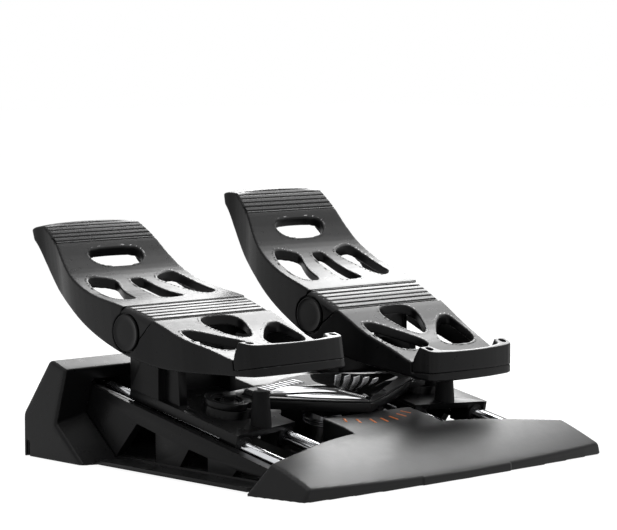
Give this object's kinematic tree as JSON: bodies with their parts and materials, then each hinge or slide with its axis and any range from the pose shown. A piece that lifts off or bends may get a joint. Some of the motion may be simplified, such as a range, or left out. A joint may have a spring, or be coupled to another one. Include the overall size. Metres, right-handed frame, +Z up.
{
  "type": "flight simulator rudder pedals",
  "caption": "Two foot pedals with toe brakes on rail carriages that slide in opposite directions through a rocker, on a low wedge-shaped floor base.",
  "frame": {"origin": "on the floor under the feet, at the middle of the overall footprint", "axes": "+Z up; +X to the user's right; +Y from the user's heel towards the toes and the rear housing"},
  "size_m": [0.346, 0.3427, 0.2015],
  "materials": {
    "base_plastic": "satin, fine moulded grain",
    "pedal_plastic": "satin, fine moulded grain",
    "sensor_plastic": "plain moulded",
    "bush_plastic": "smooth, self-lubricating",
    "bearing_plastic": "smooth natural acetal",
    "shield_gloss": "high gloss with a printed silver pattern",
    "rod_chrome": "polished",
    "post_steel": "turned",
    "steel_parts": "zinc plated",
    "rubber_parts": "matt",
    "board": "solder mask"
  },
  "bodies": {
    "base": {"base_tray": "base_plastic", "rear_housing": "base_plastic", "front_panel": "base_plastic", "electronics_cover": "base_plastic", "left_outer_rail": "rod_chrome", "left_inner_rail": "rod_chrome", "right_inner_rail": "rod_chrome", "right_outer_rail": "rod_chrome", "front_rail_clamps": "base_plastic", "rear_rail_clamps": "steel_parts", "rocker_post": "post_steel", "rudder_sensor": "sensor_plastic", "centring_spring": "steel_parts", "circuit_board": "board", "cable_gland": "rubber_parts", "rubber_feet": "rubber_parts", "base_screws": "steel_parts"},
    "rocker": {"rocker_arm": "base_plastic", "rocker_bush": "bearing_plastic", "shield_cover": "shield_gloss"},
    "left_carriage_body": {"left_carriage": "base_plastic", "left_slide_bushes": "bush_plastic", "left_drive_roller": "steel_parts", "left_bump_stop": "rubber_parts", "left_brake_sensor": "sensor_plastic", "left_brake_spring": "steel_parts"},
    "left_pedal_body": {"left_pedal_plate": "pedal_plastic", "left_hinge_cover": "pedal_plastic", "left_pedal_axle": "steel_parts", "left_axle_caps": "pedal_plastic", "left_heel_stop": "pedal_plastic", "left_heel_screws": "steel_parts"},
    "right_carriage_body": {"right_carriage": "base_plastic", "right_slide_bushes": "bush_plastic", "right_drive_roller": "steel_parts", "right_bump_stop": "rubber_parts", "right_brake_sensor": "sensor_plastic", "right_brake_spring": "steel_parts"},
    "right_pedal_body": {"right_pedal_plate": "pedal_plastic", "right_hinge_cover": "pedal_plastic", "right_pedal_axle": "steel_parts", "right_axle_caps": "pedal_plastic", "right_heel_stop": "pedal_plastic", "right_heel_screws": "steel_parts"}
  },
  "joints": [
    {"name": "rudder_turn", "type": "hinge", "parent": "base", "child": "rocker", "pos_m": [0, -0.01938, 0.05306], "axis": [0, -0.1908, 0.9816], "range_deg": [-16, 16], "stiffness_Nm_per_rad": 1.2},
    {"name": "left_slide", "type": "slide", "parent": "base", "child": "left_carriage_body", "axis": [0, 0.9816, 0.1908], "range_m": [-0.03, 0.03]},
    {"name": "right_slide", "type": "slide", "parent": "base", "child": "right_carriage_body", "axis": [0, 0.9816, 0.1908], "range_m": [-0.03, 0.03]},
    {"name": "left_toe_brake", "type": "hinge", "parent": "left_carriage_body", "child": "left_pedal_body", "pos_m": [-0.096, 0.03664, 0.10449], "axis": [1, 0, 0], "range_deg": [-15.2, 9.8], "stiffness_Nm_per_rad": 6},
    {"name": "right_toe_brake", "type": "hinge", "parent": "right_carriage_body", "child": "right_pedal_body", "pos_m": [0.096, 0.03664, 0.10449], "axis": [1, 0, 0], "range_deg": [-25, 0], "stiffness_Nm_per_rad": 6, "springref_deg": 1.15}
  ],
  "couplings": [
    {"joint": "left_slide", "follows": "rudder_turn", "m_per_rad": -0.10679},
    {"joint": "right_slide", "follows": "rudder_turn", "m_per_rad": 0.10679}
  ]
}
